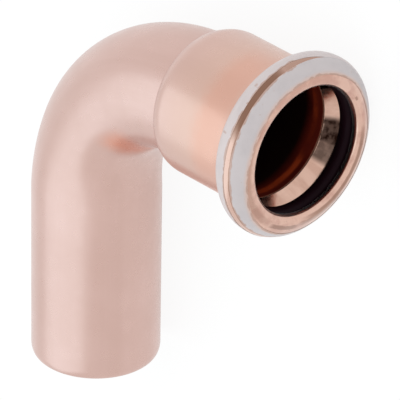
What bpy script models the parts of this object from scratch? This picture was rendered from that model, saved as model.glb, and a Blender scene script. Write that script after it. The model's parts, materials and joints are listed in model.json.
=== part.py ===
"""Copper press fit street elbow, 90 degrees, for 22 mm tube.

One end is a plain spigot, which goes into another fitting. The other end is a socket with a press
bead at its mouth. The bead holds a rubber seal ring and carries two rings of white indicator film.

Each piece is a profile turned round one centreline, which runs straight through the spigot, round
the bend and straight through the socket. A profile point is (station, radius): the station is the
distance along the centreline from the spigot's end. Sizes are in metres, angles in radians.
The elbow lies on its side as it comes to rest, on the spigot and the bead.
"""

import math

import bpy
from mathutils import Vector

MM = 0.001

# The tube that the elbow is formed from
TUBE_RADIUS = 11.0 * MM
TUBE_WALL = 1.5 * MM

# Spigot
SPIGOT_LENGTH = 32.1 * MM
SPIGOT_ROUND_LENGTH = 1.6 * MM
SPIGOT_ROUND_DEPTH = 0.6 * MM
SPIGOT_DEBURR = 0.2 * MM

# Bend, measured on the centreline. Bending draws the tube in a little all round, and its inner side more.
BEND_RADIUS = 27.25 * MM
BEND_NARROWING = 0.3 * MM
NARROWING_SHARE = 0.25
INNER_DRAW = 1.4 * MM

# Socket, from the end of the bend to the mouth
SOCKET_REACH = 23.4 * MM
TUBE_CLEARANCE = 0.15 * MM
SHOULDER_SETBACK = 1.1 * MM
SHOULDER_LENGTH = 3.2 * MM
STOP_SLOPE = math.radians(50)
STOP_EASE = 0.6 * MM

# Mouth and lip
MOUTH_ROUND = 1.0 * MM
LAND_WIDTH = 0.4 * MM
LIP_THICKNESS = 1.7 * MM
LIP_REAR_ROUND = 0.3 * MM

# Seal ring, a round section
SEAL_SQUEEZE = 0.1 * MM
SEAL_THICKNESS = 3.1 * MM
SEAL_GAP = 0.3 * MM

# Press bead, which is the tube wall formed round the seal ring
FRONT_SLOPE = math.radians(68)
FLANK_SLOPE = math.radians(63)
FUNNEL_SLOPE = math.radians(40)
FLANK_LEAD = 0.85 * MM
CREST_WIDTH = 0.5 * MM
KNEE_RISE = 1.25 * MM
CHAMBER_ROUND = 0.6 * MM
ROOT_EASE = 0.7 * MM

# Indicator film, measured along the bead's surface from its root
FILM_GAP = 0.3 * MM
FILM_THICKNESS = 0.2 * MM
FILM_START = 0.8 * MM
REAR_FILM_WIDTH = 5.35 * MM
BARE_STRIP_WIDTH = 0.95 * MM
FRONT_FILM_WIDTH = 2.6 * MM
FRONT_FILM_START = FILM_START + REAR_FILM_WIDTH + BARE_STRIP_WIDTH

# Facets
SEGMENTS = 48
BEND_STEPS = 16
SEAL_STEPS = 16
ARC_STEPS = 5

# Radii that follow from the sizes above
BORE_RADIUS = TUBE_RADIUS - TUBE_WALL
SOCKET_BORE = TUBE_RADIUS + TUBE_CLEARANCE
SOCKET_RADIUS = SOCKET_BORE + TUBE_WALL
LAND_RADIUS = SOCKET_BORE + MOUTH_ROUND + LAND_WIDTH
SEAL_INNER = TUBE_RADIUS - SEAL_SQUEEZE
SEAL_MIDDLE = SEAL_INNER + SEAL_THICKNESS / 2
CHAMBER_RADIUS = SEAL_INNER + SEAL_THICKNESS + SEAL_GAP
CREST_RADIUS = CHAMBER_RADIUS + TUBE_WALL

# Stations that follow from the sizes above
BEND_START = SPIGOT_LENGTH
BEND_END = BEND_START + BEND_RADIUS * math.pi / 2
CREASE = BEND_END - SHOULDER_SETBACK
MOUTH = BEND_END + SOCKET_REACH
LIP_REAR = MOUTH - LIP_THICKNESS
SEAL_CENTRE = LIP_REAR - SEAL_GAP - SEAL_THICKNESS / 2
CREST_FRONT = SEAL_CENTRE + CREST_WIDTH

# The chamber's rear flank is a funnel for the tube. It starts where its cone just clears the seal ring.
FUNNEL_START = SEAL_CENTRE - (
    SEAL_THICKNESS / 2 + SEAL_GAP + (SEAL_MIDDLE - SOCKET_BORE) * math.cos(FUNNEL_SLOPE)
) / math.sin(FUNNEL_SLOPE)
FLANK_FOOT = FUNNEL_START + FLANK_LEAD

# The bore just before the tube stop, and where the stop's slope starts to leave it
STOP_BORE = BORE_RADIUS - BEND_NARROWING
STOP_START = CREASE + TUBE_WALL - (SOCKET_BORE - STOP_BORE) / 2 / math.tan(STOP_SLOPE) - STOP_EASE


def outer_flank(radius):
    """Station of the bead's sloping rear flank at a radius."""
    return FLANK_FOOT + (radius - SOCKET_RADIUS) / math.tan(FLANK_SLOPE)


def rounded(start, corner, end, steps=ARC_STEPS):
    """Elliptical arc from start to end that leaves towards the corner and arrives from it."""
    points = []
    for step in range(steps + 1):
        turn = math.pi / 2 * step / steps
        to_corner = math.sin(turn)
        to_end = 1 - math.cos(turn)
        station = start[0] + (corner[0] - start[0]) * to_corner + (end[0] - corner[0]) * to_end
        radius = start[1] + (corner[1] - start[1]) * to_corner + (end[1] - corner[1]) * to_end
        points.append((station, radius))
    return points


def climb(foot, knee, top, slope):
    """S-shaped rise that leaves the foot level, passes the knee at the slope and ends level."""
    lower_corner = (knee[0] - (knee[1] - foot[1]) / math.tan(slope), foot[1])
    upper_corner = (knee[0] + (top[1] - knee[1]) / math.tan(slope), top[1])
    return chain(rounded(foot, lower_corner, knee), rounded(knee, upper_corner, top))


def chain(*pieces):
    """Join lists of profile points, leaving out a point that repeats the one before."""
    points = []
    for piece in pieces:
        for point in piece:
            if not points or math.dist(point, points[-1]) > 0.001 * MM:
                points.append(point)
    return points


def along_bend(radius, end):
    """Profile points through the bend, where the tube is drawn in from the spigot's radius."""
    points = []
    for step in range(BEND_STEPS + 1):
        share = step / BEND_STEPS
        drawn_in = math.sin(math.pi / 2 * min(share / NARROWING_SHARE, 1.0)) * BEND_NARROWING
        points.append((BEND_START + (end - BEND_START) * share, radius - drawn_in))
    return points


def shoulder_outside():
    """The crease near the end of the bend and the round shoulder that widens to the socket."""
    crease = (CREASE, TUBE_RADIUS - BEND_NARROWING)
    corner = (CREASE, SOCKET_RADIUS)
    return rounded(crease, corner, (CREASE + SHOULDER_LENGTH, SOCKET_RADIUS))


def stop_inside():
    """The tube stop: the bore widens to the socket one tube wall inside the shoulder."""
    knee = (CREASE + TUBE_WALL, (STOP_BORE + SOCKET_BORE) / 2)
    top = (CREASE + SHOULDER_LENGTH, SOCKET_BORE)
    return climb((STOP_START, STOP_BORE), knee, top, STOP_SLOPE)


def bead_outside():
    """The bead's outer surface from its root to the edge of the flat land at the mouth."""
    knee_radius = SOCKET_RADIUS + KNEE_RISE
    root = (FLANK_FOOT - ROOT_EASE, SOCKET_RADIUS)
    knee = (outer_flank(knee_radius), knee_radius)
    rear = climb(root, knee, (SEAL_CENTRE, CREST_RADIUS), FLANK_SLOPE)
    front_corner = (MOUTH - (CREST_RADIUS - LAND_RADIUS) / math.tan(FRONT_SLOPE), CREST_RADIUS)
    front = rounded((CREST_FRONT, CREST_RADIUS), front_corner, (MOUTH, LAND_RADIUS), ARC_STEPS + 3)
    return chain(rear, front)


def lip():
    """The flat land, the rounded mouth and the lip's bore, as far as its rear edge."""
    land_inner = (MOUTH, SOCKET_BORE + MOUTH_ROUND)
    mouth = rounded(land_inner, (MOUTH, SOCKET_BORE), (MOUTH - MOUTH_ROUND, SOCKET_BORE))
    rear_edge = rounded(
        (LIP_REAR + LIP_REAR_ROUND, SOCKET_BORE),
        (LIP_REAR, SOCKET_BORE),
        (LIP_REAR, SOCKET_BORE + LIP_REAR_ROUND),
        2,
    )
    return chain(mouth, rear_edge)


def chamber_inside():
    """The seal chamber from behind the lip back to the funnel's foot on the socket's bore."""
    behind_front = TUBE_WALL / math.sin(FRONT_SLOPE)
    front_slant = (CHAMBER_RADIUS - LAND_RADIUS) / math.tan(FRONT_SLOPE)
    front_corner = (MOUTH - behind_front - front_slant, CHAMBER_RADIUS)
    front = rounded((LIP_REAR, SEAL_MIDDLE), front_corner, (CREST_FRONT, CHAMBER_RADIUS))
    rear_corner = (FUNNEL_START + (CHAMBER_RADIUS - SOCKET_BORE) / math.tan(FUNNEL_SLOPE), CHAMBER_RADIUS)
    level_end = (rear_corner[0] + CHAMBER_ROUND, CHAMBER_RADIUS)
    funnel_end = (
        rear_corner[0] - CHAMBER_ROUND * math.cos(FUNNEL_SLOPE),
        CHAMBER_RADIUS - CHAMBER_ROUND * math.sin(FUNNEL_SLOPE),
    )
    return chain(front, rounded(level_end, rear_corner, funnel_end, 3), [(FUNNEL_START, SOCKET_BORE)])


def elbow_profile():
    """Closed profile of the copper wall: outside to the mouth, then inside back to the spigot."""
    end_radius = TUBE_RADIUS - SPIGOT_ROUND_DEPTH
    spigot_end = rounded((0.0, end_radius), (0.0, TUBE_RADIUS), (SPIGOT_ROUND_LENGTH, TUBE_RADIUS), 4)
    deburr = [(SPIGOT_DEBURR, BORE_RADIUS), (0.0, BORE_RADIUS + SPIGOT_DEBURR)]
    outside = chain(spigot_end, along_bend(TUBE_RADIUS, CREASE), shoulder_outside(), bead_outside())
    inside = chain(along_bend(BORE_RADIUS, STOP_START), stop_inside(), reversed(chamber_inside()))
    return chain(outside, lip(), reversed(inside), deburr)


def seal_profile():
    """Closed round section of the rubber ring."""
    points = []
    for step in range(SEAL_STEPS):
        turn = -2 * math.pi * step / SEAL_STEPS
        station = SEAL_CENTRE + SEAL_THICKNESS / 2 * math.cos(turn)
        radius = SEAL_MIDDLE + SEAL_THICKNESS / 2 * math.sin(turn)
        points.append((station, radius))
    return points


def stretch(path, start, length):
    """The part of a path between two distances along it, with its own points in between."""
    points = []
    travelled = 0.0
    for before, after in zip(path, path[1:]):
        step = math.dist(before, after)
        for mark in (start, start + length):
            if travelled <= mark < travelled + step:
                share = (mark - travelled) / step
                station = before[0] + (after[0] - before[0]) * share
                points.append((station, before[1] + (after[1] - before[1]) * share))
        travelled += step
        if start < travelled < start + length:
            points.append(after)
    return chain(points)


def raised(path, height):
    """The path moved outwards by a height, square to itself."""
    points = []
    for index, point in enumerate(path):
        before = path[max(index - 1, 0)]
        after = path[min(index + 1, len(path) - 1)]
        along = (after[0] - before[0], after[1] - before[1])
        size = math.hypot(*along)
        points.append((point[0] - along[1] / size * height, point[1] + along[0] / size * height))
    return points


def film_profile(start, width):
    """Closed section of a film ring that follows the bead's surface."""
    path = stretch(chain(bead_outside(), lip()), start, width)
    underside = raised(path, FILM_GAP)
    topside = raised(path, FILM_GAP + FILM_THICKNESS)
    return chain(topside, reversed(underside))


def centreline(station):
    """Point on the centreline and the direction there that points away from the bend's centre."""
    angle = min(max((station - BEND_START) / BEND_RADIUS, 0.0), math.pi / 2)
    forward = Vector((math.sin(angle), math.cos(angle), 0.0))
    outward = Vector((-math.cos(angle), math.sin(angle), 0.0))
    beyond_bend = min(station - BEND_START, 0.0) + max(station - BEND_END, 0.0)
    bend_centre = Vector((BEND_RADIUS, -BEND_RADIUS, 0.0))
    return bend_centre + outward * BEND_RADIUS + forward * beyond_bend, outward


def inner_draw(station, turn):
    """How far bending draws the tube in at a point, most at the middle of the bend's inner side."""
    share = min(max((station - BEND_START) / (BEND_END - BEND_START), 0.0), 1.0)
    inner_share = max(-math.cos(turn), 0.0)
    return INNER_DRAW * (math.sin(math.pi * share) * inner_share) ** 2


def turned_points(profile):
    """One ring of points for each profile point."""
    side = Vector((0.0, 0.0, 1.0))
    points = []
    for station, radius in profile:
        centre, outward = centreline(station)
        for step in range(SEGMENTS):
            turn = 2 * math.pi * step / SEGMENTS
            reach = radius - inner_draw(station, turn)
            points.append(centre + (outward * math.cos(turn) + side * math.sin(turn)) * reach)
    return points


def turned_faces(ring_count):
    """Four-sided faces between neighbouring rings, with the last ring joined to the first."""
    faces = []
    for ring in range(ring_count):
        here = ring * SEGMENTS
        there = (ring + 1) % ring_count * SEGMENTS
        for step in range(SEGMENTS):
            beside = (step + 1) % SEGMENTS
            faces.append((here + step, here + beside, there + beside, there + step))
    return faces


def make_material(name, colour, roughness, metallic):
    """Principled material with one colour."""
    material = bpy.data.materials.new(name)
    material.use_nodes = True
    shader = material.node_tree.nodes["Principled BSDF"]
    shader.inputs["Base Color"].default_value = (*colour, 1.0)
    shader.inputs["Roughness"].default_value = roughness
    shader.inputs["Metallic"].default_value = metallic
    return material


def turned_piece(name, profile, material, parent):
    """One closed body turned from a profile round the centreline."""
    mesh = bpy.data.meshes.new(name)
    mesh.from_pydata(turned_points(profile), [], turned_faces(len(profile)))
    mesh.materials.append(material)
    mesh.shade_smooth()
    mesh.set_sharp_from_angle(angle=math.radians(40))
    piece = bpy.data.objects.new(name, mesh)
    piece.parent = parent
    bpy.context.collection.objects.link(piece)
    return piece


def touch_angle(station, radius):
    """Tilt at which a turned point on the socket just touches the floor under the spigot."""
    reach = BEND_RADIUS + station - BEND_END
    return math.acos(TUBE_RADIUS / math.hypot(reach, radius)) - math.atan2(reach, radius)


def rest_tilt():
    """Tilt that lifts the socket's axis until the bead's film rests on the spigot's floor."""
    rear_film = film_profile(FILM_START, REAR_FILM_WIDTH)
    front_film = film_profile(FRONT_FILM_START, FRONT_FILM_WIDTH)
    return max(touch_angle(*point) for point in rear_film + front_film)


def stand_on_origin(frame, pieces):
    """Move the frame so that the origin is the bottom centre of all the pieces."""
    bpy.context.view_layer.update()
    corners = [piece.matrix_world @ vertex.co for piece in pieces for vertex in piece.data.vertices]
    low = [min(corner[axis] for corner in corners) for axis in range(3)]
    high = [max(corner[axis] for corner in corners) for axis in range(3)]
    frame.location -= Vector(((low[0] + high[0]) / 2, (low[1] + high[1]) / 2, low[2]))


def build():
    """The elbow, its seal ring and its two film rings, lying as they come to rest."""
    for old in list(bpy.data.objects):
        bpy.data.objects.remove(old, do_unlink=True)
    frame = bpy.data.objects.new("resting_frame", None)
    frame.rotation_euler = (0.0, -rest_tilt(), 0.0)
    bpy.context.collection.objects.link(frame)
    copper = make_material("copper", (0.72, 0.45, 0.36), 0.32, 1.0)
    rubber = make_material("black_rubber", (0.02, 0.02, 0.022), 0.35, 0.0)
    film = make_material("white_film", (0.66, 0.67, 0.69), 0.45, 0.0)
    pieces = [
        turned_piece("elbow_body", elbow_profile(), copper, frame),
        turned_piece("seal_ring", seal_profile(), rubber, frame),
        turned_piece("indicator_band_rear", film_profile(FILM_START, REAR_FILM_WIDTH), film, frame),
        turned_piece("indicator_band_front", film_profile(FRONT_FILM_START, FRONT_FILM_WIDTH), film, frame),
    ]
    stand_on_origin(frame, pieces)


build()
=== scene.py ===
"""Looks of the copper press fit elbow: satin copper, worn film, black rubber, a white floor and soft light.

The copper, the seal ring and the film are turned again round the elbow's centreline, finer than the
solids and from the same sizes. A profile point is (station, radius): the station is the distance along
the centreline from the spigot's end. The turn is the angle round the centreline, 0 on the bend's outer
side. The reach is the distance along a surface from the foot of the bead. Every vertex keeps its turn
and reach in the attribute "spot", as a point on one long drum, and the materials are laid out on it.
"""

import json
import math

import bpy
import numpy as np
from mathutils import Matrix, Vector, noise


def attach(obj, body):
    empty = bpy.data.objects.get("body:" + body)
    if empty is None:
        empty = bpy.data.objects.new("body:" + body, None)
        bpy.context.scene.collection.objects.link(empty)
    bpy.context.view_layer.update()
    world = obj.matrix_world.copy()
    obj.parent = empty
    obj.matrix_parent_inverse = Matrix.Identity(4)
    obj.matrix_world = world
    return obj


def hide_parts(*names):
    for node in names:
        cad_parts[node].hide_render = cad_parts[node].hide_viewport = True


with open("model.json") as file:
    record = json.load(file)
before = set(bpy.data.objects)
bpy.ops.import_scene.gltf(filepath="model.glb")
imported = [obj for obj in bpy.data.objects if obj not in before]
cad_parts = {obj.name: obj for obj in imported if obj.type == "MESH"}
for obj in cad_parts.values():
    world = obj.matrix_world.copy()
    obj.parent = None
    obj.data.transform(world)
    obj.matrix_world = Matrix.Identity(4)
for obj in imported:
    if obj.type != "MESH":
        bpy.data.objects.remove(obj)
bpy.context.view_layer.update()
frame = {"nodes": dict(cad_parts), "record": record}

MM = 0.001

# Sizes shared with the solids
TUBE_RADIUS = 11.0 * MM
TUBE_WALL = 1.5 * MM
SPIGOT_LENGTH = 32.1 * MM
SPIGOT_ROUND_LENGTH = 1.6 * MM
SPIGOT_ROUND_DEPTH = 0.6 * MM
SPIGOT_DEBURR = 0.2 * MM
BEND_RADIUS = 27.25 * MM
BEND_NARROWING = 0.3 * MM
NARROWING_SHARE = 0.25
INNER_DRAW = 1.4 * MM
SOCKET_REACH = 23.4 * MM
TUBE_CLEARANCE = 0.15 * MM
SHOULDER_SETBACK = 1.1 * MM
SHOULDER_LENGTH = 3.2 * MM
STOP_SLOPE = math.radians(50)
STOP_EASE = 0.6 * MM
MOUTH_ROUND = 1.0 * MM
LAND_WIDTH = 0.4 * MM
LIP_THICKNESS = 1.7 * MM
LIP_REAR_ROUND = 0.3 * MM
SEAL_SQUEEZE = 0.1 * MM
SEAL_THICKNESS = 3.1 * MM
SEAL_GAP = 0.3 * MM
FRONT_SLOPE = math.radians(68)
FLANK_SLOPE = math.radians(63)
FUNNEL_SLOPE = math.radians(40)
FLANK_LEAD = 0.85 * MM
CREST_WIDTH = 0.5 * MM
KNEE_RISE = 1.25 * MM
CHAMBER_ROUND = 0.6 * MM
ROOT_EASE = 0.7 * MM
FILM_START = 0.8 * MM
REAR_FILM_WIDTH = 5.35 * MM
BARE_STRIP_WIDTH = 0.95 * MM
FRONT_FILM_WIDTH = 2.6 * MM

# The film as it really lies: a skin on the copper, with torn edges. The middles are turns in degrees
FILM_LIFT = 0.02 * MM
FILM_SKIN = 0.03 * MM
FILM_SEAM = 0.02 * MM
SEAM_MARGIN = 0.9 * MM
STRIP_COVER = 2.4
STRIP_COVER_MIDDLE = -85
FILM_EDGE_THINNING = 0.6
FILM_EDGE_SHARPNESS = 12
FRONT_FILM_EXTRA = 0.2 * MM
FRONT_FILM_LEAN = 0.4 * MM
FRONT_FILM_LEAN_MIDDLE = 45
FRONT_FILM_WEAR = 1.35 * MM
FRONT_FILM_WEAR_MIDDLE = 168
TEAR_BROAD_SCALE = 2.0
TEAR_FINE_SCALE = 9.0
TEAR_FINEST_SCALE = 26.0
TEAR_FINEST_SHARE = 0.7

# Fineness of the visible meshes
SEGMENTS = 240
FILM_SEGMENTS = 480
BEND_STEPS = 64
ARC_STEPS = 10
SEAL_STEPS = 40
FILM_STEPS = 22
SPIGOT_STEPS = 12
SHOULDER_STEPS = 16
SOCKET_STEPS = 10
FRONT_STEPS = 22
LIP_REAR_STEPS = 5
CHAMBER_CORNER_STEPS = 6
FUNNEL_STEPS = 8
SHARP_ANGLE = math.radians(35)

# Distances within which points count as the same, as on one face, or as beside each other
SAME_POINT = 0.001 * MM
SAME_FACE = 0.01 * MM
BESIDE = 0.05 * MM

# Lines and radii that follow from the sizes
BORE_RADIUS = TUBE_RADIUS - TUBE_WALL
SOCKET_BORE = TUBE_RADIUS + TUBE_CLEARANCE
SOCKET_RADIUS = SOCKET_BORE + TUBE_WALL
LAND_RADIUS = SOCKET_BORE + MOUTH_ROUND + LAND_WIDTH
SEAL_INNER = TUBE_RADIUS - SEAL_SQUEEZE
SEAL_MIDDLE = SEAL_INNER + SEAL_THICKNESS / 2
CHAMBER_RADIUS = SEAL_INNER + SEAL_THICKNESS + SEAL_GAP
CREST_RADIUS = CHAMBER_RADIUS + TUBE_WALL
BEND_START = SPIGOT_LENGTH
BEND_END = BEND_START + BEND_RADIUS * math.pi / 2
CREASE = BEND_END - SHOULDER_SETBACK
MOUTH = BEND_END + SOCKET_REACH
LIP_REAR = MOUTH - LIP_THICKNESS
SEAL_CENTRE = LIP_REAR - SEAL_GAP - SEAL_THICKNESS / 2
CREST_FRONT = SEAL_CENTRE + CREST_WIDTH
FUNNEL_START = SEAL_CENTRE - (
    SEAL_THICKNESS / 2 + SEAL_GAP + (SEAL_MIDDLE - SOCKET_BORE) * math.cos(FUNNEL_SLOPE)
) / math.sin(FUNNEL_SLOPE)
FLANK_FOOT = FUNNEL_START + FLANK_LEAD
STOP_BORE = BORE_RADIUS - BEND_NARROWING
STOP_START = CREASE + TUBE_WALL - (SOCKET_BORE - STOP_BORE) / 2 / math.tan(STOP_SLOPE) - STOP_EASE
FRONT_FILM_START = FILM_START + REAR_FILM_WIDTH + BARE_STRIP_WIDTH
DRUM_RADIUS = TUBE_RADIUS

# The photograph's camera, about the elbow standing upright on its spigot
VIEW_TURN = math.radians(-46.96)
VIEW_RISE = math.radians(29.747)
VIEW_ROLL = math.radians(0.927)
VIEW_DISTANCE = 950 * MM
VIEW_CENTRE = (12.0 * MM, 0.0, -20.0 * MM)
VIEW_SHIFT = (9.094 * MM, -4.694 * MM)
PIXELS_PER_METRE = 6034.0
IMAGE_WIDTH = 400
SENSOR_WIDTH = 36.0
VIEW_CLIP = 10.0

# The room and the floor
ROOM_COLOUR = (1.0, 0.995, 0.99, 1.0)
ROOM_STRENGTH = 0.965
FLOOR_HALF = 3.0
FLOOR_PAPER = (0.9, 0.9, 0.9, 1.0)
FLOOR_WHITE = (1.0, 1.0, 1.0, 1.0)
FLOOR_WHITE_STRENGTH = 1.02
FLOOR_WHITE_SHARE = 0.88

# Colours of the copper outside
PALE_COPPER = (0.655, 0.447, 0.395)
ROSY_COPPER = (0.69, 0.478, 0.428)
DRAWN_COPPER = (0.63, 0.425, 0.37)
WARM_COPPER = (0.695, 0.462, 0.378)
LIP_COPPER = (0.72, 0.47, 0.38)
LIP_SHADE = (0.60, 0.36, 0.29)
# Painted shade on the lip's bore
LIP_BORE_PAINTED_SHADE = (0.40, 0.09, 0.045)
# Painted orange reflection of nearby copper
REFLECTED_COPPER_ORANGE = (0.75, 0.335, 0.225)
# Brown for tarnish, and for painted shade lines at the films' edges
TARNISH_AND_SHADE_BROWN = (0.27, 0.145, 0.10)

# Colours of the copper inside
FUNNEL_COPPER = (0.68, 0.45, 0.36)
FUNNEL_SHADE = (0.58, 0.36, 0.28)
# Painted dark reflection on the funnel, shaped as a stain
FUNNEL_REFLECTION_BLACK = (0.014, 0.005, 0.003)
# The bore's dark red and black are painted shade, and its brighter red ring is a painted highlight
BORE_PAINTED_SHADE_RED = (0.20, 0.022, 0.012)
BORE_SHADE = (0.13, 0.012, 0.007)
FUNNEL_FOOT_BROWN = (0.55, 0.22, 0.14)
BORE_PAINTED_HIGHLIGHT_RED = (0.58, 0.08, 0.02)
DEEP_BORE_PAINTED_SHADE = (0.012, 0.004, 0.003)
SPIGOT_BORE_COPPER = (0.60, 0.37, 0.29)

# Colours of the film and the rubber
# The rear film is painted lighter than the front one as a highlight
REAR_FILM_LIT_GREY = (0.64, 0.555, 0.546)
REAR_FILM_LIT_MOTTLE = (0.585, 0.51, 0.503)
FRONT_FILM_GREY = (0.575, 0.52, 0.523)
FRONT_FILM_SHADE = (0.525, 0.478, 0.483)
FRAYED_FILM = (0.69, 0.50, 0.43)
RUBBED_FILM = (0.48, 0.30, 0.235)
RUBBER_BLACK = (0.006, 0.002, 0.003)
RUBBER_GLOSS = (0.012, 0.004, 0.007)
RUBBER_SHEEN = (1.0, 0.72, 0.85, 1.0)

# In the materials: a reach past the lip, the relief's depth, how soft a patch is for its width, and
# how far from the spigot's end the bore starts to brighten and is bright
PAST_LIP = 30 * MM
BUMP_DEPTH = 0.03 * MM
PATCH_SOFTNESS = 0.3
BORE_BRIGHT_FROM = 30 * MM
BORE_BRIGHT_AT = 4 * MM

# A mix node's sockets for colours share their names with others, so they go by number
MIX_FACTOR, MIX_FIRST, MIX_SECOND, MIX_RESULT = 0, 6, 7, 2


def outer_flank(radius):
    """Station of the bead's sloping rear flank at a radius."""
    return FLANK_FOOT + (radius - SOCKET_RADIUS) / math.tan(FLANK_SLOPE)


def rounded(start, corner, end, steps=ARC_STEPS):
    """Elliptical arc from start to end that leaves towards the corner and arrives from it."""
    points = []
    for step in range(steps + 1):
        turn = math.pi / 2 * step / steps
        to_corner = math.sin(turn)
        to_end = 1 - math.cos(turn)
        station = start[0] + (corner[0] - start[0]) * to_corner + (end[0] - corner[0]) * to_end
        radius = start[1] + (corner[1] - start[1]) * to_corner + (end[1] - corner[1]) * to_end
        points.append((station, radius))
    return points


def climb(foot, knee, top, slope):
    """S-shaped rise that leaves the foot level, passes the knee at the slope and ends level."""
    lower_corner = (knee[0] - (knee[1] - foot[1]) / math.tan(slope), foot[1])
    upper_corner = (knee[0] + (top[1] - knee[1]) / math.tan(slope), top[1])
    return chain(rounded(foot, lower_corner, knee), rounded(knee, upper_corner, top))


def straight(start, end, steps):
    """Evenly spaced points from start to end."""
    shares = [step / steps for step in range(steps + 1)]
    return [(start[0] + (end[0] - start[0]) * s, start[1] + (end[1] - start[1]) * s) for s in shares]


def chain(*pieces):
    """Join lists of profile points, leaving out a point that repeats the one before."""
    points = []
    for piece in pieces:
        for point in piece:
            if not points or math.dist(point, points[-1]) > SAME_POINT:
                points.append(point)
    return points


def along_bend(radius, end):
    """Profile points through the bend, where the tube is drawn in from the spigot's radius."""
    points = []
    for step in range(BEND_STEPS + 1):
        share = step / BEND_STEPS
        drawn_in = math.sin(math.pi / 2 * min(share / NARROWING_SHARE, 1.0)) * BEND_NARROWING
        points.append((BEND_START + (end - BEND_START) * share, radius - drawn_in))
    return points


def spigot_outside():
    """Outside of the spigot, rounded over at its end."""
    end_radius = TUBE_RADIUS - SPIGOT_ROUND_DEPTH
    end = rounded((0.0, end_radius), (0.0, TUBE_RADIUS), (SPIGOT_ROUND_LENGTH, TUBE_RADIUS))
    return chain(end, straight(end[-1], (BEND_START, TUBE_RADIUS), SPIGOT_STEPS))


def shoulder_outside():
    """The crease near the end of the bend and the round shoulder that widens to the socket."""
    crease = (CREASE, TUBE_RADIUS - BEND_NARROWING)
    corner = (CREASE, SOCKET_RADIUS)
    return rounded(crease, corner, (CREASE + SHOULDER_LENGTH, SOCKET_RADIUS), SHOULDER_STEPS)


def stop_inside():
    """The tube stop: the bore widens to the socket one tube wall inside the shoulder."""
    knee = (CREASE + TUBE_WALL, (STOP_BORE + SOCKET_BORE) / 2)
    top = (CREASE + SHOULDER_LENGTH, SOCKET_BORE)
    return climb((STOP_START, STOP_BORE), knee, top, STOP_SLOPE)


def bead_outside():
    """The bead's outer surface from its root to the edge of the flat land at the mouth."""
    knee_radius = SOCKET_RADIUS + KNEE_RISE
    root = (FLANK_FOOT - ROOT_EASE, SOCKET_RADIUS)
    knee = (outer_flank(knee_radius), knee_radius)
    rear = climb(root, knee, (SEAL_CENTRE, CREST_RADIUS), FLANK_SLOPE)
    front_corner = (MOUTH - (CREST_RADIUS - LAND_RADIUS) / math.tan(FRONT_SLOPE), CREST_RADIUS)
    front = rounded((CREST_FRONT, CREST_RADIUS), front_corner, (MOUTH, LAND_RADIUS), FRONT_STEPS)
    return chain(rear, front)


def lip():
    """The flat land, the rounded mouth and the lip's bore, as far as its rear edge."""
    land_inner = (MOUTH, SOCKET_BORE + MOUTH_ROUND)
    mouth = rounded(land_inner, (MOUTH, SOCKET_BORE), (MOUTH - MOUTH_ROUND, SOCKET_BORE))
    rear_edge = rounded(
        (LIP_REAR + LIP_REAR_ROUND, SOCKET_BORE),
        (LIP_REAR, SOCKET_BORE),
        (LIP_REAR, SOCKET_BORE + LIP_REAR_ROUND),
        LIP_REAR_STEPS,
    )
    return chain(mouth, rear_edge)


def chamber_inside():
    """The seal chamber from behind the lip back to the funnel's foot on the socket's bore."""
    behind_front = TUBE_WALL / math.sin(FRONT_SLOPE)
    front_slant = (CHAMBER_RADIUS - LAND_RADIUS) / math.tan(FRONT_SLOPE)
    front_corner = (MOUTH - behind_front - front_slant, CHAMBER_RADIUS)
    front = rounded((LIP_REAR, SEAL_MIDDLE), front_corner, (CREST_FRONT, CHAMBER_RADIUS))
    funnel_length = (CHAMBER_RADIUS - SOCKET_BORE) / math.tan(FUNNEL_SLOPE)
    rear_corner = (FUNNEL_START + funnel_length, CHAMBER_RADIUS)
    level_end = (rear_corner[0] + CHAMBER_ROUND, CHAMBER_RADIUS)
    funnel_end = (
        rear_corner[0] - CHAMBER_ROUND * math.cos(FUNNEL_SLOPE),
        CHAMBER_RADIUS - CHAMBER_ROUND * math.sin(FUNNEL_SLOPE),
    )
    rear = rounded(level_end, rear_corner, funnel_end, CHAMBER_CORNER_STEPS)
    return chain(front, rear, straight(funnel_end, (FUNNEL_START, SOCKET_BORE), FUNNEL_STEPS))


def outside_profile():
    """Outer surface from the spigot's end to the foot of the bead."""
    root = bead_outside()[0]
    socket = straight((CREASE + SHOULDER_LENGTH, SOCKET_RADIUS), root, SOCKET_STEPS)
    return chain(spigot_outside(), along_bend(TUBE_RADIUS, CREASE), shoulder_outside(), socket)


def inside_profile():
    """From behind the lip back through the chamber, the socket and the bend to the deburred edge."""
    spigot = straight((SPIGOT_DEBURR, BORE_RADIUS), (BEND_START, BORE_RADIUS), SPIGOT_STEPS)
    bend = along_bend(BORE_RADIUS, STOP_START)
    socket_start = (CREASE + SHOULDER_LENGTH, SOCKET_BORE)
    socket = straight(socket_start, (FUNNEL_START, SOCKET_BORE), SOCKET_STEPS)
    bore = chain(spigot, bend, stop_inside(), socket, reversed(chamber_inside()))
    return chain(reversed(bore), [(0.0, BORE_RADIUS + SPIGOT_DEBURR)])


def seal_profile():
    """Closed round section of the rubber ring."""
    points = []
    for step in range(SEAL_STEPS):
        turn = -2 * math.pi * step / SEAL_STEPS
        station = SEAL_CENTRE + SEAL_THICKNESS / 2 * math.cos(turn)
        radius = SEAL_MIDDLE + SEAL_THICKNESS / 2 * math.sin(turn)
        points.append((station, radius))
    return points


def travelled(profile):
    """Distance along a profile at each of its points."""
    lengths = [math.dist(a, b) for a, b in zip(profile, profile[1:])]
    return np.concatenate(([0.0], np.cumsum(lengths)))


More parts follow.
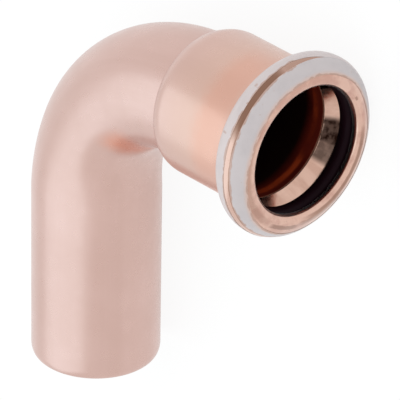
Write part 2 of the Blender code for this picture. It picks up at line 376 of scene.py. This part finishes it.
def centreline(station):
    """Point on the centreline and the direction there that points away from the bend's centre."""
    angle = min(max((station - BEND_START) / BEND_RADIUS, 0.0), math.pi / 2)
    forward = Vector((math.sin(angle), math.cos(angle), 0.0))
    outward = Vector((-math.cos(angle), math.sin(angle), 0.0))
    beyond_bend = min(station - BEND_START, 0.0) + max(station - BEND_END, 0.0)
    bend_centre = Vector((BEND_RADIUS, -BEND_RADIUS, 0.0))
    return bend_centre + outward * BEND_RADIUS + forward * beyond_bend, outward


def inner_draw(station, turn):
    """How far bending draws the tube in at a point, most at the middle of the bend's inner side."""
    share = min(max((station - BEND_START) / (BEND_END - BEND_START), 0.0), 1.0)
    inner_share = max(-math.cos(turn), 0.0)
    return INNER_DRAW * (math.sin(math.pi * share) * inner_share) ** 2


def turned_point(station, radius, turn):
    """Point of a turned surface at an angle round the centreline, in the elbow's own frame."""
    centre, outward = centreline(station)
    side = Vector((0.0, 0.0, 1.0))
    direction = outward * math.cos(turn) + side * math.sin(turn)
    return centre + direction * (radius - inner_draw(station, turn))


def drum_spot(turn, reach):
    """Place on the drum that the materials are laid out on."""
    return math.cos(turn) * DRUM_RADIUS, math.sin(turn) * DRUM_RADIUS, reach


def turned_faces(ring_count, segments):
    """Four-sided faces between neighbouring rings, with the last ring joined to the first."""
    faces = []
    for ring in range(ring_count):
        here = ring * segments
        there = (ring + 1) % ring_count * segments
        for step in range(segments):
            beside = (step + 1) % segments
            faces.append((here + step, here + beside, there + beside, there + step))
    return faces


def angles(segments=SEGMENTS):
    """The angles of one ring's points."""
    return [2 * math.pi * step / segments for step in range(segments)]


def stand(name, points, segments, spots, materials, rest):
    """New smooth object from rings of points in the elbow's frame, with its vertices in the world's."""
    mesh = bpy.data.meshes.new(name)
    faces = turned_faces(len(points) // segments, segments)
    mesh.from_pydata([rest @ point for point in points], [], faces)
    for material in materials:
        mesh.materials.append(material)
    places = mesh.attributes.new("spot", "FLOAT_VECTOR", "POINT")
    places.data.foreach_set("vector", np.ravel(spots))
    mesh.shade_smooth()
    mesh.set_sharp_from_angle(angle=SHARP_ANGLE)
    piece = bpy.data.objects.new(name, mesh)
    bpy.context.collection.objects.link(piece)
    return piece


def hand_over(piece, node):
    """Put the piece in its node's place."""
    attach(piece, "root")
    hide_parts(node)


def resting_frame():
    """The elbow's own frame in the world, from the record's mounts and the copper's end face."""
    mounts = {mount["name"]: mount for mount in frame["record"]["mounts"]}
    socket_axis = Vector(mounts["socket_rim"]["axis"]).normalized()
    spigot_axis = Vector(mounts["spigot_end"]["axis"]).normalized()
    side = socket_axis.cross(-spigot_axis).normalized()
    copper = frame["nodes"]["elbow_body"]
    end_plane = Vector(mounts["spigot_end"]["pos_m"]).dot(spigot_axis)
    corners = [vertex.co for vertex in copper.data.vertices]
    face = [corner for corner in corners if abs(corner.dot(spigot_axis) - end_plane) < SAME_FACE]
    middle = [(min(p[axis] for p in face) + max(p[axis] for p in face)) / 2 for axis in range(3)]
    crossing = Vector(middle) - spigot_axis * (SPIGOT_LENGTH + BEND_RADIUS)
    turn = Matrix((socket_axis, -spigot_axis, side)).transposed().to_4x4()
    return Matrix.Translation(crossing) @ turn


class Nodes:
    """Small helper that builds a material's node tree."""

    def __init__(self, name):
        self.material = bpy.data.materials.new(name)
        self.material.use_nodes = True
        self.tree = self.material.node_tree
        self.shader = self.tree.nodes["Principled BSDF"]
        self.spot = self.add("ShaderNodeAttribute", attribute_name="spot").outputs["Vector"]
        split = self.add("ShaderNodeSeparateXYZ")
        self.link(self.spot, split.inputs[0])
        self.reach = split.outputs["Z"]

    def add(self, kind, **settings):
        """New node with plain settings."""
        node = self.tree.nodes.new(kind)
        for key, value in settings.items():
            setattr(node, key, value)
        return node

    def link(self, source, target):
        """Join an output to an input."""
        self.tree.links.new(source, target)

    def feed(self, value, target):
        """Give an input a number, a colour or an output."""
        if isinstance(value, bpy.types.NodeSocket):
            self.link(value, target)
        else:
            target.default_value = (*value, 1.0) if isinstance(value, tuple) else value

    def drive(self, name, value):
        """Let an output set one of the shader's inputs."""
        self.link(value, self.shader.inputs[name])

    def set(self, **values):
        """Constants on the shader's own sockets."""
        for key, value in values.items():
            self.shader.inputs[key.replace("_", " ")].default_value = value

    def noise(self, scale, detail=3.0, roughness=0.55, along=1.0):
        """Noise on the drum, in features per metre round it and this many times as fine along it."""
        mapping = self.add("ShaderNodeMapping")
        mapping.inputs["Scale"].default_value = (1.0, 1.0, along)
        self.link(self.spot, mapping.inputs["Vector"])
        texture = self.add("ShaderNodeTexNoise")
        texture.inputs["Scale"].default_value = scale
        texture.inputs["Detail"].default_value = detail
        texture.inputs["Roughness"].default_value = roughness
        self.link(mapping.outputs["Vector"], texture.inputs["Vector"])
        return texture.outputs["Fac"]

    def spread(self, value, low, high, to_low=0.0, to_high=1.0):
        """Value mapped smoothly from one range to another and clamped."""
        node = self.add("ShaderNodeMapRange", interpolation_type="SMOOTHSTEP")
        bounds = {"From Min": low, "From Max": high, "To Min": to_low, "To Max": to_high}
        for name, bound in bounds.items():
            node.inputs[name].default_value = bound
        self.link(value, node.inputs["Value"])
        return node.outputs["Result"]

    def blend(self, factor, first, second):
        """Mix of two colours, each given as a colour or as an output."""
        node = self.add("ShaderNodeMix", data_type="RGBA")
        self.feed(factor, node.inputs[MIX_FACTOR])
        self.feed(first, node.inputs[MIX_FIRST])
        self.feed(second, node.inputs[MIX_SECOND])
        return node.outputs[MIX_RESULT]

    def maths(self, operation, first, second):
        """Arithmetic on two values, each given as a number or as an output."""
        node = self.add("ShaderNodeMath", operation=operation)
        self.feed(first, node.inputs[0])
        self.feed(second, node.inputs[1])
        return node.outputs[0]

    def scaled(self, value, factor):
        """A value times a number or an output."""
        return self.maths("MULTIPLY", value, factor)

    def window(self, start, end, soft, ragged=0.0, scale=900.0):
        """1 between two reaches and 0 outside, with soft edges that noise moves by up to a distance."""
        stray = self.scaled(self.maths("SUBTRACT", self.noise(scale), 0.5), 2 * ragged)
        reach = self.maths("ADD", self.reach, stray)
        rise = self.spread(reach, start - soft, start + soft)
        fall = self.spread(reach, end - soft, end + soft, 1.0, 0.0)
        return self.scaled(rise, fall)

    def sector(self, middle, half_width, soft):
        """1 within an angle of a turn and 0 beyond, all in degrees."""
        flat = self.add("ShaderNodeVectorMath", operation="MULTIPLY")
        self.link(self.spot, flat.inputs[0])
        flat.inputs[1].default_value = (1.0 / DRUM_RADIUS, 1.0 / DRUM_RADIUS, 0.0)
        towards = self.add("ShaderNodeVectorMath", operation="DOT_PRODUCT")
        self.link(flat.outputs[0], towards.inputs[0])
        turn = math.radians(middle)
        towards.inputs[1].default_value = (math.cos(turn), math.sin(turn), 0.0)
        outer = math.cos(math.radians(half_width + soft))
        inner = math.cos(math.radians(max(half_width - soft, 0.0)))
        return self.spread(towards.outputs["Value"], outer, inner)

    def patch(self, middle, half_width, start, end, soft=0.15 * MM, ragged=0.3 * MM):
        """A ragged patch this far to each side of a turn, in degrees, and between two reaches."""
        across = self.sector(middle, half_width, half_width * PATCH_SOFTNESS)
        return self.scaled(across, self.window(start, end, soft, ragged))

    def strongest(self, *values):
        """The highest of several values."""
        total = values[0]
        for value in values[1:]:
            total = self.maths("MAXIMUM", total, value)
        return total

    def bump(self, height, strength):
        """Surface relief from a height."""
        node = self.add("ShaderNodeBump")
        node.inputs["Strength"].default_value = strength
        node.inputs["Distance"].default_value = BUMP_DEPTH
        self.link(height, node.inputs["Height"])
        self.link(node.outputs["Normal"], self.shader.inputs["Normal"])


def copper_outside():
    """Satin drawn copper, warmer towards the bead, tarnished brown between the films and at the lip, with
    painted shade and painted orange reflection.
    """
    nodes = Nodes("copper_outside")
    patches = nodes.spread(nodes.noise(70.0, 3.0), 0.35, 0.68)
    drawn = nodes.spread(nodes.noise(420.0, 3.0, along=0.06), 0.3, 0.7)
    pale = nodes.blend(patches, PALE_COPPER, ROSY_COPPER)
    bare = nodes.blend(nodes.scaled(drawn, 0.35), pale, DRAWN_COPPER)
    socket = nodes.window(-12 * MM, PAST_LIP, 7 * MM, 1.5 * MM, 120.0)
    warm = nodes.blend(nodes.scaled(socket, 0.8), bare, WARM_COPPER)
    mottling = nodes.spread(nodes.noise(330.0, 4.0), 0.42, 0.62)
    lip_tone = nodes.blend(mottling, LIP_COPPER, LIP_SHADE)
    lip_zone = nodes.window(8.0 * MM, PAST_LIP, 0.3 * MM, 0.4 * MM)
    face = nodes.blend(lip_zone, warm, lip_tone)
    # The lip's bore is painted dark brown as shade
    lip_bore_shade = nodes.window(12.35 * MM, PAST_LIP, 0.13 * MM, 0.08 * MM)
    with_lip_shade = nodes.blend(lip_bore_shade, face, LIP_BORE_PAINTED_SHADE)
    # Painted orange reflection of nearby copper
    with_orange_reflection = nodes.blend(orange_reflection_paint(nodes), with_lip_shade, REFLECTED_COPPER_ORANGE)
    nodes.drive("Base Color", nodes.blend(tarnish_and_shade(nodes), with_orange_reflection, TARNISH_AND_SHADE_BROWN))
    satin = nodes.spread(nodes.noise(500.0, 3.0), 0.3, 0.7, 0.27, 0.32)
    polished = nodes.window(5.9 * MM, PAST_LIP, 0.2 * MM)
    nodes.drive("Roughness", nodes.maths("SUBTRACT", satin, nodes.scaled(polished, 0.08)))
    nodes.set(Metallic=1.0, Sheen_Weight=0.18, Sheen_Roughness=0.5)
    nodes.bump(nodes.noise(260.0, 2.0, along=0.4), 0.05)
    return nodes.material


def orange_reflection_paint(nodes):
    """Where an orange reflection of nearby copper is painted: at the inner bend, under the socket and
    before the bead.
    """
    inner_side = nodes.sector(146, 24, 16)
    inner_bend = nodes.scaled(inner_side, nodes.window(-37.5 * MM, -30 * MM, 3 * MM, 1 * MM))
    underside = nodes.scaled(nodes.patch(158, 34, -19 * MM, -1 * MM, 1 * MM), 0.55)
    before_bead = nodes.scaled(nodes.patch(60, 60, -6 * MM, 0.5 * MM, 2 * MM, 1 * MM), 0.35)
    return nodes.strongest(inner_bend, underside, before_bead)


def tarnish_and_shade(nodes):
    """Where the copper outside is painted brown: tarnish between the films, on the lip and in specks, and
    painted shade beside the front film and at the rear film's edge.
    """
    between = nodes.patch(38, 24, 5.9 * MM, 7.35 * MM, ragged=0.15 * MM)
    between_top = nodes.scaled(nodes.patch(-8, 24, 6.2 * MM, 7.2 * MM, ragged=0.2 * MM), 0.55)
    # Painted shade: a dark line beside the front film's edge
    shade_line_beside_front = nodes.scaled(nodes.patch(80, 60, 6.95 * MM, 7.3 * MM, 0.08 * MM, 0.12 * MM), 0.7)
    # Painted shade along the rear film's edge at the bead's foot
    foot = nodes.scaled(nodes.window(0.45 * MM, 1.0 * MM, 0.15 * MM, 0.35 * MM, 500.0), 0.45)
    specks = nodes.scaled(nodes.spread(nodes.noise(1900.0, 3.0), 0.68, 0.74), 0.3)
    specked = nodes.scaled(specks, nodes.window(-1 * MM, PAST_LIP, 1 * MM))
    return nodes.strongest(between, between_top, shade_line_beside_front, foot, lip_tarnish(nodes), specked)


def lip_tarnish(nodes):
    """The brown stains on the lip, by their place in the photograph."""
    left = nodes.scaled(nodes.patch(98, 40, 9.5 * MM, 10.7 * MM, 0.3 * MM), 0.4)
    low = nodes.scaled(nodes.patch(158, 13, 9.5 * MM, 10.5 * MM), 0.7)
    right = nodes.scaled(nodes.patch(-135, 42, 10.75 * MM, 11.45 * MM, 0.15 * MM, 0.12 * MM), 0.75)
    bottom = nodes.scaled(nodes.patch(-165, 20, 9.9 * MM, 10.9 * MM), 0.6)
    mark = nodes.scaled(nodes.patch(-60, 2, 11.0 * MM, 11.4 * MM, 0.15 * MM, 0.2 * MM), 0.6)
    return nodes.strongest(left, low, right, bottom, mark)


def copper_inside():
    """Bright copper in the funnel with a painted dark reflection across it, and a bore painted dark
    red-brown as shade.
    """
    nodes = Nodes("copper_inside")
    funnel_start, funnel_end = funnel_reach()
    streaks = nodes.spread(nodes.noise(600.0, 3.0, along=0.3), 0.35, 0.7)
    bright = nodes.blend(streaks, FUNNEL_COPPER, FUNNEL_SHADE)
    # The funnel's dark patch is a painted reflection
    funnel = nodes.blend(funnel_dark_reflection(nodes, funnel_start, funnel_end), bright, FUNNEL_REFLECTION_BLACK)
    behind = nodes.spread(nodes.reach, funnel_end - 0.1 * MM, funnel_end + 0.3 * MM)
    socket = nodes.blend(behind, funnel, socket_bore(nodes, funnel_end))
    end = travelled(chain(outside_profile(), bead_outside(), lip(), inside_profile()))[-1]
    end -= travelled(outside_profile())[-1]
    spigot = nodes.spread(nodes.reach, end - BORE_BRIGHT_FROM, end - BORE_BRIGHT_AT)
    nodes.drive("Base Color", nodes.blend(spigot, socket, SPIGOT_BORE_COPPER))
    polish = nodes.spread(nodes.noise(900.0), 0.3, 0.7, 0.12, 0.2)
    nodes.drive("Roughness", nodes.maths("ADD", polish, nodes.scaled(behind, 0.25)))
    # Where the bore is painted dark as shade, it is also less metallic
    painted_dark_bore = nodes.scaled(behind, nodes.maths("SUBTRACT", 1.0, spigot))
    nodes.drive("Metallic", nodes.maths("SUBTRACT", 1.0, nodes.scaled(painted_dark_bore, 0.7)))
    nodes.set(Specular_IOR_Level=0.1)
    nodes.bump(nodes.noise(900.0, 3.0), 0.12)
    return nodes.material


def funnel_dark_reflection(nodes, funnel_start, funnel_end):
    """Where a dark reflection is painted on the funnel: a patch, its paler tail and a small notch above."""
    before = funnel_start - 1 * MM
    dark_reflection = nodes.patch(-106, 11, before, funnel_end, 0.2 * MM, 0.4 * MM)
    tail = nodes.scaled(nodes.patch(-121, 10, before, funnel_end), 0.82)
    notch = nodes.patch(-62, 4, before, funnel_end, 0.2 * MM, 0.4 * MM)
    mottle = nodes.spread(nodes.noise(800.0, 4.0, 0.6), 0.35, 0.6, 0.88, 1.0)
    return nodes.scaled(nodes.strongest(dark_reflection, tail, notch), mottle)


def socket_bore(nodes, funnel_end):
    """The bore's colour: brown at the funnel's foot, painted shade of dark red with a painted highlight
    ring, then painted black deeper in.
    """
    clouds = nodes.spread(nodes.noise(160.0, 3.0), 0.35, 0.7)
    near = nodes.blend(clouds, BORE_PAINTED_SHADE_RED, BORE_SHADE)
    foot = nodes.window(funnel_end - 0.05 * MM, funnel_end + 0.35 * MM, 0.12 * MM)
    footed = nodes.blend(foot, near, FUNNEL_FOOT_BROWN)
    # A painted highlight ring
    ring = nodes.window(funnel_end + 1.4 * MM, funnel_end + 2.5 * MM, 0.35 * MM, 0.25 * MM, 300.0)
    with_painted_highlight = nodes.blend(nodes.scaled(ring, clouds), footed, BORE_PAINTED_HIGHLIGHT_RED)
    # Painted shade: black deeper in
    deep = nodes.spread(nodes.reach, funnel_end + 2.2 * MM, funnel_end + 4.6 * MM)
    return nodes.blend(deep, with_painted_highlight, DEEP_BORE_PAINTED_SHADE)


def funnel_reach():
    """Reaches at which the chamber's funnel starts and ends."""
    path = chain(bead_outside(), lip(), inside_profile())
    reach = travelled(path)
    start = chamber_inside()[-1 - FUNNEL_STEPS]
    first = min(range(len(path)), key=lambda i: math.dist(path[i], start))
    last = min(range(len(path)), key=lambda i: math.dist(path[i], (FUNNEL_START, SOCKET_BORE)))
    return float(reach[first]), float(reach[last])


def white_film():
    """Pale grey film, worn at its edges and rubbed through to the copper in specks, with the rear ring
    painted lighter as a highlight.
    """
    nodes = Nodes("white_film")
    edge = nodes.add("ShaderNodeAttribute", attribute_name="edge").outputs["Fac"]
    clouds = nodes.spread(nodes.noise(260.0, 4.0), 0.35, 0.7)
    rear_lit_tone = nodes.blend(clouds, REAR_FILM_LIT_GREY, REAR_FILM_LIT_MOTTLE)
    front_tone = nodes.blend(clouds, FRONT_FILM_GREY, FRONT_FILM_SHADE)
    # The rear film's lighter tone is a painted highlight
    tone = nodes.blend(nodes.window(7.0 * MM, PAST_LIP, 0.15 * MM), rear_lit_tone, front_tone)
    sharp_fray = nodes.spread(edge, 0.0, 0.16 * MM, 0.8, 0.0)
    ragged_edge = nodes.maths("ADD", edge, nodes.scaled(nodes.noise(900.0, 3.0), 0.3 * MM))
    near_mouth = nodes.window(8.3 * MM, PAST_LIP, 0.3 * MM)
    faded = nodes.scaled(nodes.spread(ragged_edge, 0.1 * MM, 1.1 * MM, 1.0, 0.0), near_mouth)
    fray = nodes.maths("MAXIMUM", sharp_fray, faded)
    bare = rubbed_through(nodes, edge)
    nodes.drive("Base Color", nodes.blend(bare, nodes.blend(fray, tone, FRAYED_FILM), RUBBED_FILM))
    nodes.drive("Metallic", nodes.maths("MAXIMUM", bare, nodes.scaled(fray, 0.8)))
    nodes.drive("Roughness", nodes.spread(nodes.noise(800.0), 0.3, 0.7, 0.34, 0.44))
    nodes.bump(nodes.noise(1300.0, 4.0), 0.15)
    return nodes.material


def rubbed_through(nodes, edge):
    """Where copper shows through the film: in specks, in thin places near an edge and in two cracks."""
    specks = nodes.scaled(nodes.spread(nodes.noise(1500.0, 4.0, 0.6), 0.68, 0.74), 0.7)
    near_edge = nodes.spread(edge, 0.1 * MM, 0.7 * MM, 0.45, 0.0)
    thinness = nodes.maths("ADD", nodes.noise(700.0, 4.0, 0.6), near_edge)
    thin = nodes.scaled(nodes.spread(thinness, 0.82, 0.92), 0.7)
    left_crack = nodes.patch(64, 0.7, 3.5 * MM, 4.7 * MM, 0.2 * MM, 0.5 * MM)
    upper_crack = nodes.patch(31, 1.1, 4.9 * MM, 5.4 * MM, 0.15 * MM, 0.3 * MM)
    cracks = nodes.scaled(nodes.strongest(left_crack, upper_crack), 0.5)
    return nodes.strongest(specks, thin, cracks)


def black_rubber():
    """Lubricated black rubber with a dim sheen."""
    nodes = Nodes("black_rubber")
    nodes.drive("Base Color", nodes.blend(nodes.noise(300.0), RUBBER_BLACK, RUBBER_GLOSS))
    nodes.drive("Roughness", nodes.spread(nodes.noise(500.0), 0.3, 0.7, 0.3, 0.42))
    nodes.set(Specular_IOR_Level=0.06, Specular_Tint=RUBBER_SHEEN)
    nodes.bump(nodes.noise(900.0, 2.0), 0.1)
    return nodes.material


def ring_points(profile):
    """Points of a turned profile, ring by ring."""
    return [turned_point(station, radius, turn) for station, radius in profile for turn in angles()]


def add_copper(rest):
    """The elbow, with one material outside and another from behind the lip inwards."""
    outside = chain(outside_profile(), bead_outside(), lip())
    profile = chain(outside, inside_profile())
    reaches = travelled(profile) - travelled(outside_profile())[-1]
    spots = [drum_spot(turn, reach) for reach in reaches for turn in angles()]
    materials = [copper_outside(), copper_inside()]
    piece = stand("copper_elbow", ring_points(profile), SEGMENTS, spots, materials, rest)
    first_inside = (len(outside) - 1) * SEGMENTS
    last_inside = (len(profile) - 1) * SEGMENTS
    for index, polygon in enumerate(piece.data.polygons):
        polygon.material_index = 1 if first_inside <= index < last_inside else 0
    hand_over(piece, "elbow_body")


def add_seal(rest):
    """The rubber ring."""
    profile = seal_profile()
    spots = [drum_spot(turn, reach) for reach in travelled(profile) for turn in angles()]
    piece = stand("rubber_seal", ring_points(profile), SEGMENTS, spots, [black_rubber()], rest)
    hand_over(piece, "seal_ring")


class Surface:
    """The bead's outer surface as a path that is read by the distance from its root."""

    def __init__(self):
        path = chain(bead_outside(), lip())
        self.reach = travelled(path)
        self.path = np.array(path)

    def on(self, distance):
        """Profile point on the surface."""
        station = np.interp(distance, self.reach, self.path[:, 0])
        return np.array((station, np.interp(distance, self.reach, self.path[:, 1])))

    def at(self, distance, height):
        """Profile point at a distance along the surface and a height above it."""
        along = self.on(distance + BESIDE) - self.on(distance - BESIDE)
        along = along / np.linalg.norm(along)
        station, radius = self.on(distance)
        return station - along[1] * height, radius + along[0] * height


def torn(turn, seed, broad, fine):
    """How far a film's edge strays at a turn, by a broad and a fine distance."""
    spot = Vector((math.cos(turn), math.sin(turn), seed))
    wander = noise.noise(spot * TEAR_BROAD_SCALE) * broad
    finest = TEAR_FINEST_SHARE * noise.noise(spot * TEAR_FINEST_SCALE)
    return wander + (noise.noise(spot * TEAR_FINE_SCALE) + finest) * fine


def around(turn, middle, sharpness):
    """1 at a turn in degrees and 0 a quarter turn from it and beyond, narrower when sharper."""
    return max(0.0, math.cos(turn - math.radians(middle))) ** sharpness


def covered(turn):
    """1 where the two films meet and hide the bare strip, and 0 where the strip is bare."""
    return min(1.0, STRIP_COVER * around(turn, STRIP_COVER_MIDDLE, 1))


def rear_film_start(turn):
    """Where the rear film starts, just beyond the bead's foot."""
    return FILM_START + torn(turn, seed=1.7, broad=0.3 * MM, fine=0.05 * MM)


def rear_film_end(turn):
    """Where the rear film ends. It reaches the front film where the bare strip is covered."""
    own = FILM_START + REAR_FILM_WIDTH + torn(turn, seed=9.0, broad=0.12 * MM, fine=0.015 * MM)
    return own + (front_film_start(turn) - FILM_SEAM - own) * covered(turn)


def front_film_start(turn):
    """Where the front film starts, beyond the bare strip."""
    return FRONT_FILM_START + torn(turn, seed=4.1, broad=0.1 * MM, fine=0.015 * MM)


def front_film_end(turn):
    """Where the front film ends: nearest the mouth above, and worn back below."""
    lean = FRONT_FILM_LEAN * math.cos(turn - math.radians(FRONT_FILM_LEAN_MIDDLE))
    even = FRONT_FILM_START + FRONT_FILM_WIDTH + FRONT_FILM_EXTRA + lean
    wear = FRONT_FILM_WEAR * around(turn, FRONT_FILM_WEAR_MIDDLE, 4)
    return even - wear + torn(turn, seed=11.4, broad=0.35 * MM, fine=0.03 * MM)


def add_film(name, node, first_edge, last_edge, seam_first, material, rest):
    """A skin of film on the bead between two edges, each a function of the turn.

    The films meet at the first edge of one and the last edge of the other, and don't fray there.
    """
    surface = Surface()
    turns = angles(FILM_SEGMENTS)
    firsts = [first_edge(turn) for turn in turns]
    lasts = [last_edge(turn) for turn in turns]
    shares = [step / FILM_STEPS for step in range(FILM_STEPS + 1)]
    points, spots, edges = [], [], []
    above = [(share, True) for share in shares]
    below = [(share, False) for share in reversed(shares)]
    for share, upper in above + below:
        thinned = FILM_SKIN * (1 - FILM_EDGE_THINNING * abs(2 * share - 1) ** FILM_EDGE_SHARPNESS)
        height = FILM_LIFT + thinned if upper else FILM_LIFT
        for turn, first, last in zip(turns, firsts, lasts):
            reach = first + (last - first) * share
            points.append(turned_point(*surface.at(reach, height), turn))
            spots.append(drum_spot(turn, reach))
            unfrayed = SEAM_MARGIN * covered(turn)
            to_first = reach - first + (unfrayed if seam_first else 0.0)
            to_last = last - reach + (0.0 if seam_first else unfrayed)
            edges.append(min(to_first, to_last))
    piece = stand(name, points, FILM_SEGMENTS, spots, [material], rest)
    piece.data.attributes.new("edge", "FLOAT", "POINT").data.foreach_set("value", edges)
    hand_over(piece, node)


def add_films(rest):
    """The rear ring of film on the flank and crest, and the front ring on the bead's face."""
    film = white_film()
    add_film("film_rear", "indicator_band_rear", rear_film_start, rear_film_end, False, film, rest)
    add_film("film_front", "indicator_band_front", front_film_start, front_film_end, True, film, rest)


def add_floor():
    """White floor that keeps a faint shadow. Camera and mirror rays see it mostly as plain white."""
    mesh = bpy.data.meshes.new("floor")
    half = FLOOR_HALF
    corners = [(-half, -half, 0), (half, -half, 0), (half, half, 0), (-half, half, 0)]
    mesh.from_pydata(corners, [], [(0, 1, 2, 3)])
    floor = bpy.data.objects.new("floor", mesh)
    bpy.context.collection.objects.link(floor)
    material = bpy.data.materials.new("floor_white")
    material.use_nodes = True
    tree = material.node_tree
    tree.nodes.clear()
    rays = tree.nodes.new("ShaderNodeLightPath")
    seen = tree.nodes.new("ShaderNodeMath")
    seen.operation = "MAXIMUM"
    tree.links.new(rays.outputs["Is Camera Ray"], seen.inputs[0])
    tree.links.new(rays.outputs["Is Glossy Ray"], seen.inputs[1])
    share = tree.nodes.new("ShaderNodeMath")
    share.operation = "MULTIPLY"
    share.inputs[1].default_value = FLOOR_WHITE_SHARE
    tree.links.new(seen.outputs[0], share.inputs[0])
    paper = tree.nodes.new("ShaderNodeBsdfDiffuse")
    paper.inputs["Color"].default_value = FLOOR_PAPER
    plain = tree.nodes.new("ShaderNodeEmission")
    plain.inputs["Color"].default_value = FLOOR_WHITE
    plain.inputs["Strength"].default_value = FLOOR_WHITE_STRENGTH
    mix = tree.nodes.new("ShaderNodeMixShader")
    tree.links.new(share.outputs[0], mix.inputs[0])
    tree.links.new(paper.outputs[0], mix.inputs[1])
    tree.links.new(plain.outputs[0], mix.inputs[2])
    output = tree.nodes.new("ShaderNodeOutputMaterial")
    tree.links.new(mix.outputs[0], output.inputs["Surface"])
    mesh.materials.append(material)


def add_lamp(name, direction, distance, size, power, colour):
    """A square softbox that faces the elbow."""
    light = bpy.data.lights.new(name, "AREA")
    light.size = size
    light.energy = power
    light.color = colour
    lamp = bpy.data.objects.new(name, light)
    bpy.context.collection.objects.link(lamp)
    lamp.location = Vector(direction).normalized() * distance
    lamp.rotation_euler = Vector(direction).to_track_quat("Z", "Y").to_euler()


def light_scene():
    """An even pale room with one large softbox overhead."""
    scene = bpy.context.scene
    scene.view_settings.view_transform = "Standard"
    scene.world = bpy.data.worlds.new("room")
    scene.world.use_nodes = True
    background = scene.world.node_tree.nodes["Background"]
    background.inputs["Color"].default_value = ROOM_COLOUR
    background.inputs["Strength"].default_value = ROOM_STRENGTH
    add_lamp(
        "overhead",
        direction=(-0.355, -0.16, 0.92),
        distance=1.0,
        size=1.65,
        power=4.2,
        colour=(0.62, 0.88, 1.0),
    )


def add_camera(rest):
    """The photograph's camera. In the upright frame x follows the socket and z points up the spigot."""
    upright = Matrix(((1, 0, 0, 0), (0, 0, 1, 0), (0, -1, 0, 0), (0, 0, 0, 1)))
    tilt = Matrix.Rotation(VIEW_ROLL, 3, "Y") @ Matrix.Rotation(VIEW_RISE, 3, "X")
    right, depth, up = tilt @ Matrix.Rotation(VIEW_TURN, 3, "Z")
    centre = Vector(VIEW_CENTRE) + right * VIEW_SHIFT[0] + up * VIEW_SHIFT[1]
    place = centre - depth * VIEW_DISTANCE
    aim = Matrix((right, up, -depth)).transposed().to_4x4()
    data = bpy.data.cameras.new("camera")
    data.sensor_width = SENSOR_WIDTH
    data.lens = SENSOR_WIDTH * PIXELS_PER_METRE * VIEW_DISTANCE / IMAGE_WIDTH
    data.clip_end = VIEW_CLIP
    camera = bpy.data.objects.new("camera", data)
    bpy.context.collection.objects.link(camera)
    camera.matrix_world = rest @ upright @ Matrix.Translation(place) @ aim
    bpy.context.scene.camera = camera


def dress():
    """The elbow's visible pieces, its floor, light and camera."""
    rest = resting_frame()
    add_copper(rest)
    add_seal(rest)
    add_films(rest)
    add_floor()
    light_scene()
    add_camera(rest)


dress()
